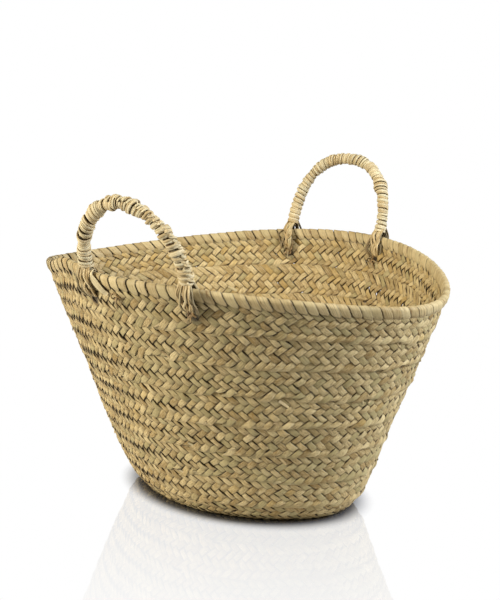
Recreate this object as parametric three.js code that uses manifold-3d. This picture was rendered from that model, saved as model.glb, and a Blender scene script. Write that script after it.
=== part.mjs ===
// A palm-leaf basket bag: a long flat plait sewn round by round into a flat oval base and a
// flaring wall, a bound rim, and two short wrapped handles that swing in loops through the wall.
// Millimetres, +Z up. The origin is the middle of the base, on the floor. +X runs along the
// mouth's longer way, and -Y is the front.

import * as THREE from 'three';
import { mergeVertices } from 'three/addons/utils/BufferGeometryUtils.js';
import Module from 'manifold-3d';

const wasm = await Module();
wasm.setup();

// The bag's form, measured on the outer face of the plait
const RIM_HALF_LENGTH = 246.5;
const RIM_HALF_WIDTH = 193.5;
const RIM_HEIGHT = 246;
const BASE_HALF_LENGTH = 138;
const BASE_HALF_WIDTH = 98;
const CORNER_HEIGHT = 31.7;
const CORNER_INSET = 17;
// How far the mouth sits off the middle of the base, as hand sewing leaves it
const MOUTH_SHIFT_X = -10.3;
const MOUTH_SHIFT_Y = -5.1;
// The rim dips towards the two ends by this much, and tilts a little lengthwise and sideways
const RIM_DIP = 13.5;
const RIM_TILT_LENGTH = 1.7;
const RIM_TILT_SIDE = -0.8;
// Shares without a unit: how pointed the oval is below and above, how much blunter its right
// end is, and how straight the wall runs
const BASE_POINT = 0.163;
const RIM_POINT = 0.307;
const BLUNT_END = 0.128;
const FLARE_POWER = 0.979;

// The plait and its seams
const PLAIT_WIDTH = 33.5;
const PLAIT_THICKNESS = 4.5;
const LIP_PROUD = 0.5;
const LIP_LENGTH = 1;
const GROOVE_INSET = 1.1;
const TONGUE_RISE = 0.3;
const LACE_RADIUS = 0.85;
const CLEARANCE = 0.35;

// The rim: a core cord along the plait's edge, bound over with wide strips
const RIM_CORE_RADIUS = 2.2;
const BINDING_THICKNESS = 1.6;
const BINDING_HEIGHT = 14;
const CROWN_CHAMFER = 2.9;

// The handles: places of the feet round the rim, in degrees from +X, and the arch above them
const FRONT_FEET_DEG = [-94.5, -66];
const BACK_FEET_DEG = [104.4, 76.1];
const FRONT_ARCH_HEIGHT = 89;
const BACK_ARCH_HEIGHT = 99.5;
const FRONT_LEAN_DEG = 18.6;
const BACK_LEAN_DEG = 19.7;
const FRONT_ARCH_SQUARENESS = 1.94;
const BACK_ARCH_SQUARENESS = 2.31;
const HANDLE_CORE_RADIUS = 4.1;
const AXIS_DROP = 11.5;
// The loop at each foot: a flat bundle of strands through the wall and round the rim
const LOOP_HALF_THICKNESS = 1.7;
const LOOP_HALF_WIDTH = 4.5;
const LOOP_SLACK = 0.5;
// Share of the bundle's width that is flat
const LOOP_FLAT = 0.6;
const HOLE_SLACK_ALONG = 1.2;
const HOLE_SLACK_ACROSS = 1.3;
// The wrap: one flat strand wound from foot to foot
const WRAP_TURNS = 24;
const WRAP_HALF_WIDTH = 2.9;
const WRAP_HALF_THICKNESS = 1.2;

// How finely round things are divided
const ROUND_STATIONS = 36;
const LOOP_STATIONS = 16;
const WRAP_STATIONS = 10;
const WRAP_SIDES = 5;
const ARCH_STATIONS = 24;
const ARCH_SAMPLES = 240;
const CORE_SIDES = 8;
const LACE_SIDES = 4;
const RIM_CORE_SIDES = 5;
const CORNER_STATIONS = 4;
const PROFILE_SAMPLES = 240;

const straw = (color, roughness) => new THREE.MeshStandardMaterial({ color, roughness, metalness: 0 });
const PLAIT_MATERIAL = straw(0xbfa878, 0.8);
const LACE_MATERIAL = straw(0x8c7648, 0.9);
const BINDING_MATERIAL = straw(0xcbb588, 0.75);
const WRAP_MATERIAL = straw(0xd2bf94, 0.75);

const { cos, sin, sqrt, PI } = Math;
const radians = THREE.MathUtils.degToRad;

// Solids

// A closed or capped solid lofted through rings of points, one ring at each station.
function loft(rings, closed) {
  const size = rings[0].length;
  const points = rings.flat();
  const faces = [];
  const spans = closed ? rings.length : rings.length - 1;
  for (let i = 0; i < spans; i++) {
    const near = i * size;
    const far = ((i + 1) % rings.length) * size;
    for (let k = 0; k < size; k++) {
      const next = (k + 1) % size;
      faces.push([near + k, far + k, far + next], [near + k, far + next, near + next]);
    }
  }
  if (!closed) {
    const last = (rings.length - 1) * size;
    for (let k = 1; k < size - 1; k++) {
      faces.push([0, k, k + 1], [last, last + k + 1, last + k]);
    }
  }
  return solidFrom(points, faces);
}

// A solid from points and triangles, turned so that its faces point out.
function solidFrom(points, faces) {
  let volume = 0;
  for (const [a, b, c] of faces) {
    volume += points[a].dot(new THREE.Vector3().crossVectors(points[b], points[c]));
  }
  const outward = volume > 0 ? faces : faces.map(([a, b, c]) => [a, c, b]);
  const geometry = new THREE.BufferGeometry();
  geometry.setAttribute('position', new THREE.Float32BufferAttribute(points.flatMap((p) => p.toArray()), 3));
  geometry.setIndex(outward.flat());
  geometry.computeVertexNormals();
  return geometry;
}

function manifoldOf(geometry) {
  const bare = geometry.clone();
  bare.deleteAttribute('normal');
  bare.deleteAttribute('uv');
  const merged = mergeVertices(bare, 1e-4);
  const vertProperties = new Float32Array(merged.attributes.position.array);
  const triVerts = new Uint32Array(merged.index.array);
  return new wasm.Manifold(new wasm.Mesh({ numProp: 3, vertProperties, triVerts }));
}

function geometryOf(manifold) {
  const mesh = manifold.getMesh();
  const geometry = new THREE.BufferGeometry();
  geometry.setAttribute('position', new THREE.Float32BufferAttribute(mesh.vertProperties, 3));
  geometry.setIndex([...mesh.triVerts]);
  geometry.computeVertexNormals();
  return geometry;
}

// The outer face of the bag

// Half length and half width at a share of the height, before the oval is drawn
function halfSizes(share) {
  const flare = share ** FLARE_POWER;
  const height = RIM_HEIGHT * share;
  const below = Math.max(0, 1 - height / CORNER_HEIGHT);
  const inset = CORNER_INSET * (1 - sqrt(1 - below * below));
  return [
    BASE_HALF_LENGTH + (RIM_HALF_LENGTH - BASE_HALF_LENGTH) * flare - inset,
    BASE_HALF_WIDTH + (RIM_HALF_WIDTH - BASE_HALF_WIDTH) * flare - inset,
  ];
}

// The way up the wall from the edge of the flat base, measured on the broad side. Shares of the
// height are squared steps, so the tight curve at the bottom is sampled finely.
const profileRuns = [0];
for (let i = 1; i <= PROFILE_SAMPLES; i++) {
  const [share, before] = [(i / PROFILE_SAMPLES) ** 2, ((i - 1) / PROFILE_SAMPLES) ** 2];
  const widening = halfSizes(share)[1] - halfSizes(before)[1];
  profileRuns.push(profileRuns[i - 1] + Math.hypot(widening, RIM_HEIGHT * (share - before)));
}
const WALL_RUN = profileRuns[PROFILE_SAMPLES];

function shareAt(run) {
  let i = 1;
  while (i < PROFILE_SAMPLES && profileRuns[i] < run) i++;
  const part = (run - profileRuns[i - 1]) / (profileRuns[i] - profileRuns[i - 1]);
  return ((i - 1 + part) / PROFILE_SAMPLES) ** 2;
}

// A point of the outer face: the angle goes round from +X, and the run goes up the wall from the
// edge of the flat base. A negative run lies in the base, that far in from its edge.
function skin(angle, run) {
  const share = run > 0 ? shareAt(run) : 0;
  const inset = run > 0 ? 0 : -run;
  const [length, width] = halfSizes(share);
  const point = BASE_POINT + (RIM_POINT - BASE_POINT) * share;
  const [c, s] = [cos(angle), sin(angle)];
  const dip = RIM_DIP * cos(2 * angle) - RIM_TILT_LENGTH * c - RIM_TILT_SIDE * s;
  return new THREE.Vector3(
    (length - inset) * c + MOUTH_SHIFT_X * share,
    (width - inset) * s * (1 - point * c * c) * (1 + BLUNT_END * share * c) + MOUTH_SHIFT_Y * share,
    RIM_HEIGHT * share - dip * share * share,
  );
}

// The face's own directions at a point: outward, and up the slope
function skinFrame(angle, run) {
  const step = 1e-3;
  const low = Math.min(run, WALL_RUN - 1e-2);
  const across = skin(angle + step, low).sub(skin(angle - step, low));
  const up = skin(angle, low + 1e-2).sub(skin(angle, low - 1e-2)).normalize();
  const out = across.cross(up).normalize();
  return { out, up };
}

// A point at a depth under the outer face, and past the run by a rise up the slope
function inWall(angle, run, rise, depth) {
  const { out, up } = skinFrame(angle, run);
  return skin(angle, run).addScaledVector(up, rise).addScaledVector(out, -depth);
}

// A band that runs once round the bag, from its outline as [run, rise, depth]
function band(outline) {
  const rings = [];
  for (let i = 0; i < ROUND_STATIONS; i++) {
    const angle = (2 * PI * i) / ROUND_STATIONS;
    rings.push(outline.map(([run, rise, depth]) => inWall(angle, run, rise, depth)));
  }
  return loft(rings, true);
}

// The plait's edges. Each round has a groove along its lower edge, which takes the tongue of the
// round below and the lace that sews the two together.

const GROOVE_RISE = TONGUE_RISE + 2 * (CLEARANCE + LACE_RADIUS);

function lowerEdge(run, proud) {
  return [
    [run, -LIP_LENGTH, PLAIT_THICKNESS + proud],
    [run, GROOVE_RISE, PLAIT_THICKNESS - GROOVE_INSET],
    [run, GROOVE_RISE, GROOVE_INSET],
    [run, -LIP_LENGTH, -proud],
  ];
}

function upperEdge(run, proud) {
  const slant = (GROOVE_INSET + proud) / (LIP_LENGTH + GROOVE_RISE);
  const shift = CLEARANCE * sqrt(1 + slant * slant) - proud;
  const foot = -LIP_LENGTH - shift / slant;
  const inset = (TONGUE_RISE + LIP_LENGTH) * slant + shift;
  return [
    [run, foot, 0],
    [run, TONGUE_RISE, inset],
    [run, TONGUE_RISE, PLAIT_THICKNESS - inset],
    [run, foot, PLAIT_THICKNESS],
  ];
}

// Outline stations up the outer face and down the inner one, between a band's two edges
function faceStations(from, to, count, depth) {
  const stations = [];
  for (let i = 1; i < count; i++) {
    stations.push([from + ((to - from) * i) / count, 0, depth]);
  }
  return stations;
}

function laceAt(run) {
  const middle = TONGUE_RISE + CLEARANCE + LACE_RADIUS;
  const outline = [];
  for (let k = 0; k < LACE_SIDES; k++) {
    const turn = (2 * PI * k) / LACE_SIDES;
    const [rise, depth] = [middle + LACE_RADIUS * sin(turn), PLAIT_THICKNESS / 2 + LACE_RADIUS * cos(turn)];
    outline.push([run, rise, depth]);
  }
  return band(outline);
}

const bag = new THREE.Group();

function addPiece(group, name, geometry, material) {
  const piece = new THREE.Mesh(geometry, material);
  piece.name = name;
  group.add(piece);
  return piece;
}

// The base: a short straight plait in the middle, with rounds sewn about it

const [FLAT_HALF_LENGTH, FLAT_HALF_WIDTH] = halfSizes(0);
const BASE_ROUNDS = Math.max(1, Math.round((FLAT_HALF_WIDTH - PLAIT_WIDTH / 2) / PLAIT_WIDTH));
const BASE_PITCH = (FLAT_HALF_WIDTH - PLAIT_WIDTH / 2) / BASE_ROUNDS;

function baseCentre() {
  const run = -BASE_ROUNDS * BASE_PITCH;
  const edge = upperEdge(run, 0);
  const points = [new THREE.Vector3(0, 0, 0), new THREE.Vector3(0, 0, PLAIT_THICKNESS)];
  const faces = [];
  for (let i = 0; i < ROUND_STATIONS; i++) {
    const angle = (2 * PI * i) / ROUND_STATIONS;
    points.push(...edge.map(([at, rise, depth]) => inWall(angle, at, rise, depth)));
    const near = 2 + i * edge.length;
    const far = 2 + ((i + 1) % ROUND_STATIONS) * edge.length;
    faces.push([0, far, near], [1, near + edge.length - 1, far + edge.length - 1]);
    for (let k = 0; k < edge.length - 1; k++) {
      faces.push([near + k, far + k, far + k + 1], [near + k, far + k + 1, near + k + 1]);
    }
  }
  return solidFrom(points, faces);
}

addPiece(bag, 'base_centre', baseCentre(), PLAIT_MATERIAL);
for (let i = 1; i <= BASE_ROUNDS; i++) {
  const [from, to] = [-(BASE_ROUNDS - i + 1) * BASE_PITCH, -(BASE_ROUNDS - i) * BASE_PITCH];
  addPiece(bag, `base_lace_${i}`, laceAt(from), LACE_MATERIAL);
  addPiece(bag, `base_round_${i}`, band([...lowerEdge(from, 0), ...upperEdge(to, 0)]), PLAIT_MATERIAL);
}

// The wall: rounds of plait from the edge of the base to the rim, the lowest one turning up

const RIM_CORE_DROP = BINDING_THICKNESS + CLEARANCE + RIM_CORE_RADIUS;
const PLAITED_RUN = WALL_RUN - RIM_CORE_DROP - RIM_CORE_RADIUS - CLEARANCE;
const WALL_ROUNDS = Math.max(3, Math.round(PLAITED_RUN / PLAIT_WIDTH));
const WALL_PITCH = PLAITED_RUN / WALL_ROUNDS;

function wallRound(i) {
  const [from, to] = [(i - 1) * WALL_PITCH, i * WALL_PITCH];
  const lower = lowerEdge(from, i === 1 ? 0 : LIP_PROUD);
  const topEdge = [[to, 0, 0], [to, 0, PLAIT_THICKNESS]];
  const upper = i === WALL_ROUNDS ? topEdge : upperEdge(to, LIP_PROUD);
  const turns = i === 1 ? CORNER_STATIONS : 1;
  const outer = faceStations(from, to, turns, 0);
  const inner = faceStations(to, from, turns, PLAIT_THICKNESS);
  return band([...lower, ...outer, ...upper, ...inner]);
}

// The handles' feet

// Where a foot's swing axis crosses the rim: half way through the wall, below the crown
function footAt(degrees) {
  const angle = radians(degrees);
  const { out, up } = skinFrame(angle, WALL_RUN);
  const place = inWall(angle, WALL_RUN, -AXIS_DROP, PLAIT_THICKNESS / 2);
  return { place, out, up };
}

const LOOP_INNER = (AXIS_DROP + LOOP_SLACK + CLEARANCE) / cos(PI / LOOP_STATIONS);
const LOOP_RADIUS = LOOP_INNER + LOOP_HALF_THICKNESS;
const LOOP_OUTER = LOOP_RADIUS + LOOP_HALF_THICKNESS;

function handleFrame(feetDegrees, leanDegrees, outwardY) {
  const feet = feetDegrees.map(footAt);
  const along = feet[1].place.clone().sub(feet[0].place);
  const halfSpan = along.length() / 2;
  along.normalize();
  const middle = feet[0].place.clone().lerp(feet[1].place, 0.5);
  const flat = new THREE.Vector3(-along.y, along.x, 0).normalize().multiplyScalar(outwardY);
  const upright = new THREE.Vector3().crossVectors(along, flat).multiplyScalar(outwardY).normalize();
  const lean = radians(leanDegrees);
  const rise = upright.clone().multiplyScalar(cos(lean)).addScaledVector(flat, sin(lean));
  return { feet, along, halfSpan, middle, rise };
}

const FRONT = handleFrame(FRONT_FEET_DEG, FRONT_LEAN_DEG, -1);
const BACK = handleFrame(BACK_FEET_DEG, BACK_LEAN_DEG, 1);

// The hole that a foot's loop takes through the top round, square to the slope there
function holeAt(foot, along) {
  const up = foot.up.clone().addScaledVector(along, -foot.up.dot(along)).normalize();
  const through = new THREE.Vector3().crossVectors(up, along);
  const size = [
    2 * (LOOP_HALF_WIDTH + HOLE_SLACK_ALONG),
    4 * PLAIT_THICKNESS,
    2 * (LOOP_HALF_THICKNESS + HOLE_SLACK_ACROSS),
  ];
  const hole = new THREE.BoxGeometry(...size);
  hole.applyMatrix4(new THREE.Matrix4().makeBasis(along, through, up));
  const place = foot.place.clone().addScaledVector(up, -LOOP_RADIUS);
  hole.translate(...place.toArray());
  return hole;
}

function topRoundWithHoles() {
  let top = manifoldOf(wallRound(WALL_ROUNDS));
  for (const handle of [FRONT, BACK]) {
    for (const foot of handle.feet) {
      top = top.subtract(manifoldOf(holeAt(foot, handle.along)));
    }
  }
  return geometryOf(top);
}

for (let i = 1; i <= WALL_ROUNDS; i++) {
  addPiece(bag, `wall_lace_${i}`, laceAt((i - 1) * WALL_PITCH), LACE_MATERIAL);
  if (i < WALL_ROUNDS) addPiece(bag, `wall_round_${i}`, wallRound(i), PLAIT_MATERIAL);
}
addPiece(bag, 'wall_top_round', topRoundWithHoles(), PLAIT_MATERIAL);

// The rim: a cord on the plait's top edge, and the binding that is wrapped over both

function rimCore() {
  const outline = [];
  for (let k = 0; k < RIM_CORE_SIDES; k++) {
    const turn = (2 * PI * k) / RIM_CORE_SIDES + PI / 2;
    const [rise, depth] = [RIM_CORE_RADIUS * sin(turn), PLAIT_THICKNESS / 2 + RIM_CORE_RADIUS * cos(turn)];
    outline.push([WALL_RUN, rise - RIM_CORE_DROP, depth]);
  }
  return band(outline);
}

// One side of the binding's outline, from the middle of the crown down: what lies outside, then
// the hollow over the cord and the edge. The other side mirrors it.
function rimBinding() {
  const half = PLAIT_THICKNESS / 2;
  const face = half + CLEARANCE;
  const outside = [
    [0, half - BINDING_THICKNESS / 2],
    [-CROWN_CHAMFER / 2, half + BINDING_THICKNESS / 2],
    [-CROWN_CHAMFER - BINDING_THICKNESS, face + BINDING_THICKNESS],
    [-BINDING_HEIGHT, face + BINDING_THICKNESS],
  ];
  const hollow = [
    [-BINDING_HEIGHT, face],
    [-CROWN_CHAMFER, face],
    [-BINDING_THICKNESS, face - CROWN_CHAMFER / 2 + CLEARANCE],
  ];
  const side = [...outside, ...hollow];
  const mirrored = side.map(([rise, offset]) => [rise, -offset]).reverse();
  return band([...side, ...mirrored].map(([rise, offset]) => [WALL_RUN, rise, half - offset]));
}

addPiece(bag, 'rim_core', rimCore(), LACE_MATERIAL);
addPiece(bag, 'rim_binding', rimBinding(), BINDING_MATERIAL);

// The handles: a stiff core bent into an arch, a loop at each foot, and the wound wrap

// A loop: a flat band of strands in a circle about the swing axis, through the wall
function footLoop(foot, along) {
  const first = foot.up.clone().addScaledVector(along, -foot.up.dot(along)).normalize();
  const second = new THREE.Vector3().crossVectors(along, first);
  const corners = [[0, -1], [1, -LOOP_FLAT], [1, LOOP_FLAT], [0, 1], [-1, LOOP_FLAT], [-1, -LOOP_FLAT]];
  const rings = [];
  for (let i = 0; i < LOOP_STATIONS; i++) {
    const turn = (2 * PI * i) / LOOP_STATIONS;
    const ray = first.clone().multiplyScalar(cos(turn)).addScaledVector(second, sin(turn));
    rings.push(corners.map(([across, beside]) => foot.place.clone()
      .addScaledVector(ray, LOOP_RADIUS + across * LOOP_HALF_THICKNESS)
      .addScaledVector(along, beside * LOOP_HALF_WIDTH)));
  }
  return loft(rings, true);
}

// The arch's middle line in its own plane, from foot to foot, with even steps along its length
function archLine(halfSpan, height, squareness) {
  const foot = LOOP_OUTER + CLEARANCE;
  const springing = foot + LOOP_HALF_THICKNESS;
  const line = [new THREE.Vector2(-halfSpan, foot)];
  for (let i = 0; i <= ARCH_SAMPLES; i++) {
    const turn = PI * (1 - i / ARCH_SAMPLES);
    const across = Math.sign(cos(turn)) * Math.abs(cos(turn)) ** (2 / squareness);
    const up = Math.max(0, sin(turn)) ** (2 / squareness);
    line.push(new THREE.Vector2(halfSpan * across, springing + (height - springing) * up));
  }
  line.push(new THREE.Vector2(halfSpan, foot));
  return line;
}

function pointAlong(line, distance) {
  let [i, left] = [1, distance];
  while (i < line.length - 1 && left > line[i].distanceTo(line[i - 1])) {
    left -= line[i].distanceTo(line[i - 1]);
    i++;
  }
  const length = line[i].distanceTo(line[i - 1]);
  return line[i - 1].clone().lerp(line[i], left / length);
}

// Where the arch runs in space at a distance from its left foot, with its two cross directions
function archFrame(handle, line, distance) {
  const probe = 2;
  const [before, after] = [pointAlong(line, distance - probe), pointAlong(line, distance + probe)];
  const heading = after.sub(before).normalize();
  const at = pointAlong(line, distance);
  const inPlane = (x, z) => handle.along.clone().multiplyScalar(x).addScaledVector(handle.rise, z);
  return {
    place: handle.middle.clone().add(inPlane(at.x, at.y)),
    heading: inPlane(heading.x, heading.y),
    outside: inPlane(-heading.y, heading.x),
    beside: new THREE.Vector3().crossVectors(handle.rise, handle.along),
  };
}

function handleCore(handle, line, length) {
  const rings = [];
  for (let i = 0; i <= ARCH_STATIONS; i++) {
    const { place, outside, beside } = archFrame(handle, line, (length * i) / ARCH_STATIONS);
    const ring = [];
    for (let k = 0; k < CORE_SIDES; k++) {
      const turn = (2 * PI * (k + 0.5)) / CORE_SIDES;
      ring.push(place.clone()
        .addScaledVector(outside, HANDLE_CORE_RADIUS * cos(turn))
        .addScaledVector(beside, HANDLE_CORE_RADIUS * sin(turn)));
    }
    rings.push(ring);
  }
  return loft(rings, false);
}

// The wrap winds round the core in one unbroken strand, and each end runs straight for a width.
function handleWrap(handle, line, length) {
  const margin = LOOP_HALF_THICKNESS + WRAP_HALF_WIDTH;
  const radius = (HANDLE_CORE_RADIUS + CLEARANCE + WRAP_HALF_THICKNESS) / cos(PI / WRAP_STATIONS);
  const steps = WRAP_TURNS * WRAP_STATIONS;
  const centre = (step) => {
    const { place, outside, beside } = archFrame(handle, line, margin + ((length - 2 * margin) * step) / steps);
    const turn = (2 * PI * step) / WRAP_STATIONS;
    const ray = outside.multiplyScalar(cos(turn)).addScaledVector(beside, sin(turn));
    return { point: place.addScaledVector(ray, radius), ray };
  };
  const section = ({ point, ray }, heading) => {
    const wide = new THREE.Vector3().crossVectors(ray, heading).normalize();
    const ring = [];
    for (let k = 0; k < WRAP_SIDES; k++) {
      const turn = (2 * PI * k) / WRAP_SIDES + PI / 2;
      ring.push(point.clone()
        .addScaledVector(ray, WRAP_HALF_THICKNESS * sin(turn))
        .addScaledVector(wide, WRAP_HALF_WIDTH * cos(turn)));
    }
    return ring;
  };
  const rings = [];
  for (let step = 0; step <= steps; step++) {
    const [behind, ahead] = [centre(Math.max(0, step - 1)), centre(Math.min(steps, step + 1))];
    const heading = ahead.point.sub(behind.point).normalize();
    const here = centre(step);
    const ring = section(here, heading);
    const straight = heading.clone().multiplyScalar(2 * WRAP_HALF_WIDTH);
    if (step === 0) rings.push(ring.map((p) => p.clone().sub(straight)));
    rings.push(ring);
    if (step === steps) rings.push(ring.map((p) => p.clone().add(straight)));
  }
  return { geometry: loft(rings, false), gap: leastGap(rings) };
}

// The least way between the points of one turn and those of the next
function leastGap(rings) {
  let least = Infinity;
  const between = 3;
  const spread = (i) => {
    const points = [];
    for (let k = 0; k < WRAP_SIDES; k++) {
      for (let j = 0; j < between; j++) {
        points.push(rings[i][k].clone().lerp(rings[i + 1][k], j / between));
      }
    }
    return points;
  };
  for (let i = 1; i < rings.length - 2 - WRAP_STATIONS; i++) {
    const own = spread(i);
    for (let j = i + WRAP_STATIONS - 2; j < Math.min(rings.length - 2, i + WRAP_STATIONS + 3); j++) {
      for (const p of spread(j)) {
        for (const q of own) least = Math.min(least, p.distanceTo(q));
      }
    }
  }
  return least;
}

function addHandle(side, handle, height, squareness) {
  const line = archLine(handle.halfSpan, height, squareness);
  const length = line.slice(1).reduce((sum, p, i) => sum + p.distanceTo(line[i]), 0);
  const wrap = handleWrap(handle, line, length);
  const group = new THREE.Group();
  addPiece(group, `${side}_handle_core`, handleCore(handle, line, length), LACE_MATERIAL);
  addPiece(group, `${side}_handle_wrap`, wrap.geometry, WRAP_MATERIAL);
  addPiece(group, `${side}_left_foot_loop`, footLoop(handle.feet[0], handle.along), LACE_MATERIAL);
  addPiece(group, `${side}_right_foot_loop`, footLoop(handle.feet[1], handle.along), LACE_MATERIAL);
  bag.add(group);
  console.log(`${side} handle: wrap turns stay ${wrap.gap.toFixed(2)} mm apart, arch ${length.toFixed(0)} mm long`);
  console.log(`${side} swing axis at`, handle.middle.toArray(), 'along', handle.along.toArray());
}

addHandle('front', FRONT, FRONT_ARCH_HEIGHT, FRONT_ARCH_SQUARENESS);
addHandle('back', BACK, BACK_ARCH_HEIGHT, BACK_ARCH_SQUARENESS);

export default bag;
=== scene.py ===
from math import cos, radians, sin

import bpy
import numpy as np
from mathutils import Matrix, Vector


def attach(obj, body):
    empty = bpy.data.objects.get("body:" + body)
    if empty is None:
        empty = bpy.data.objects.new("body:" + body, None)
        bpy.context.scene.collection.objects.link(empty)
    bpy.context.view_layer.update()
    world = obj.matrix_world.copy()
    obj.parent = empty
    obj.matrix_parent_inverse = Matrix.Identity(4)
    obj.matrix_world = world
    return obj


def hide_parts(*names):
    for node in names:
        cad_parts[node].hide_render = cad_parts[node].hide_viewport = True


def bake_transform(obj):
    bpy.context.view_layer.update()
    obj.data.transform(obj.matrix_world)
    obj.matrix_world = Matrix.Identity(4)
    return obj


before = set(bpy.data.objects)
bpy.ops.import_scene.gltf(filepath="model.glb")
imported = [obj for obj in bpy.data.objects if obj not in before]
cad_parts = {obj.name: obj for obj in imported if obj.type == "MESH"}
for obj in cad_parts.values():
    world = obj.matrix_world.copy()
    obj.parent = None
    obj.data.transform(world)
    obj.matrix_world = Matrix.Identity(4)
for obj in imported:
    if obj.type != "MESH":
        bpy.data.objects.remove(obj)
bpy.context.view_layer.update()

bpy.ops.object.select_all(action="DESELECT")
scene = bpy.context.scene
scene.view_settings.view_transform = "Standard"

# The view
# The bag is seen from its front right and a little above the rim, so its right end is nearer.
# The angle, distance and focal length are those at which the bag's own edges meet the picture.
VIEW_AIM = (-0.0379, 0.0564, 0.1927)
VIEW_AZIMUTH = radians(40.07)
VIEW_ELEVATION = radians(11.59)
VIEW_DISTANCE = 1.368
VIEW_FOCAL = 73.76
SENSOR = 36

bpy.ops.object.camera_add()
camera = bpy.context.object
camera.name = "photo_camera"
camera.matrix_world = (
    Matrix.Translation(VIEW_AIM) @ Matrix.Rotation(VIEW_AZIMUTH, 4, "Z")
    @ Matrix.Rotation(radians(90) - VIEW_ELEVATION, 4, "X")
    @ Matrix.Translation((0, 0, VIEW_DISTANCE)))
camera.data.lens = VIEW_FOCAL
camera.data.sensor_width = SENSOR
scene.camera = camera

# The studio
# A pale floor that keeps the bag's shadow and turns white away from it, four soft lamps, and
# an even pale surround that the viewer sees as white. Close round the base the floor's colour
# holds a painted contact shadow.
FLOOR_SIZE = 12
# The floor's rings are counted from its middle, in half sizes of the base's oval.
FLOOR_OVAL = (0.138, 0.098, 1)
FLOOR_DARK_TO = 0.94
FLOOR_WHITE_FROM = 1.14
# The painted contact shadow: over these rings the floor's colour goes from near black to grey.
PAINTED_SHADOW_RINGS = (0.86, 1.12)
PAINTED_SHADOW_GREYS = (0.02, 0.42)
FLOOR_GLOSS = 0.24
FLOOR_GLOSS_TO = 4.2
FLOOR_ROUGHNESS = 0.04
WHITE = (1, 1, 1, 1)
SURROUND = (1, 0.94, 0.86, 1)
SURROUND_STRENGTH = 0.04
LAMPS_AIM = Vector((0, 0, 0.12))


def add_node(tree, kind, sockets=None, **settings):
    node = tree.nodes.new(kind if kind.startswith("NodeGroup") else "ShaderNode" + kind)
    for name, value in settings.items():
        setattr(node, name, value)
    for name, value in (sockets or {}).items():
        if isinstance(value, bpy.types.NodeSocket):
            tree.links.new(value, node.inputs[name])
        else:
            node.inputs[name].default_value = value
    return node


def empty_material(name):
    material = bpy.data.materials.new(name)
    material.use_nodes = True
    material.node_tree.nodes.clear()
    return material, material.node_tree


def math_node(tree, operation, *values):
    return add_node(tree, "Math", dict(enumerate(values)), operation=operation).outputs[0]


def smooth_range(tree, value, low, high, start=0, end=1):
    """Goes smoothly from start to end while a value goes from low to high."""
    return add_node(tree, "MapRange", {
        "Value": value, "From Min": low, "From Max": high, "To Min": start, "To Max": end,
    }, interpolation_type="SMOOTHSTEP").outputs["Result"]


def seen_directly(tree):
    """1 for what the viewer sees, also in a mirror or through glass, and 0 for light."""
    path = add_node(tree, "LightPath").outputs
    mirrored = math_node(tree, "MAXIMUM", path["Is Glossy Ray"], path["Is Transmission Ray"])
    return math_node(tree, "MAXIMUM", path["Is Camera Ray"], mirrored)


def floor_material():
    material, tree = empty_material("pale_floor")
    place = add_node(tree, "TexCoord").outputs["Object"]
    oval = add_node(tree, "VectorMath", {0: place, 1: FLOOR_OVAL}, operation="DIVIDE").outputs[0]
    ring = add_node(tree, "VectorMath", {0: oval}, operation="LENGTH").outputs["Value"]
    away = smooth_range(tree, ring, FLOOR_DARK_TO, FLOOR_WHITE_FROM)
    mirror = add_node(tree, "MapRange", {
        "Value": ring, "From Min": 1.0, "From Max": FLOOR_GLOSS_TO, "To Min": FLOOR_GLOSS, "To Max": 0,
    }).outputs["Result"]
    # Painted contact shadow: the floor's colour is near black at the base and greyer further out.
    under = smooth_range(tree, ring, *PAINTED_SHADOW_RINGS, *PAINTED_SHADOW_GREYS)
    grey = add_node(tree, "CombineXYZ", {"X": under, "Y": under, "Z": under}).outputs[0]
    painted_shadow_floor = add_node(tree, "BsdfDiffuse", {"Color": grey})
    gloss = add_node(tree, "BsdfGlossy", {"Color": WHITE, "Roughness": FLOOR_ROUGHNESS})
    white = add_node(tree, "Emission", {"Color": WHITE, "Strength": 1.0})
    share = math_node(tree, "MULTIPLY", away, seen_directly(tree))
    base = add_node(tree, "MixShader", {0: share, 1: painted_shadow_floor.outputs[0], 2: white.outputs[0]})
    mixed = add_node(tree, "MixShader", {0: mirror, 1: base.outputs[0], 2: gloss.outputs[0]})
    add_node(tree, "OutputMaterial", {"Surface": mixed.outputs[0]})
    return material


bpy.ops.mesh.primitive_plane_add(size=FLOOR_SIZE)
floor = bpy.context.object
floor.name = "floor"
floor.data.materials.append(floor_material())

world = bpy.data.worlds.new("pale_surround")
scene.world = world
world.use_nodes = True
sky = world.node_tree
sky.nodes.clear()
surround = add_node(sky, "Background", {"Color": SURROUND, "Strength": SURROUND_STRENGTH})
backdrop = add_node(sky, "Background", {"Color": WHITE, "Strength": 1.0})
either = add_node(sky, "MixShader", {
    0: seen_directly(sky), 1: surround.outputs[0], 2: backdrop.outputs[0],
})
add_node(sky, "OutputWorld", {"Surface": either.outputs[0]})


def soft_lamp(name, place, size, power, color=(1, 1, 1)):
    bpy.ops.object.light_add(type="AREA", location=place)
    lamp = bpy.context.object
    lamp.name = name
    lamp.rotation_euler = (LAMPS_AIM - Vector(place)).to_track_quat("-Z", "Y").to_euler()
    lamp.data.size = size
    lamp.data.energy = power
    lamp.data.color = color


soft_lamp("left_softbox", (-0.8, -1.43, 0.78), 0.45, 28, (1, 0.985, 0.96))
soft_lamp("high_softbox", (0.8, -0.3, 1.4), 0.5, 4.8, (1, 0.94, 0.84))
soft_lamp("edge_softbox", (1.3, 0.35, 0.95), 0.45, 20, (0.93, 1.04, 1.3))
soft_lamp("overhead_softbox", (-0.25, 0.0, 1.5), 0.9, 1)

# The base
# The bag is one long flat plait of dried palm leaf. It starts in the middle of the base as a short
# straight piece, and two rounds are sewn about that piece, edge over edge, and lie flat.

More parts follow.
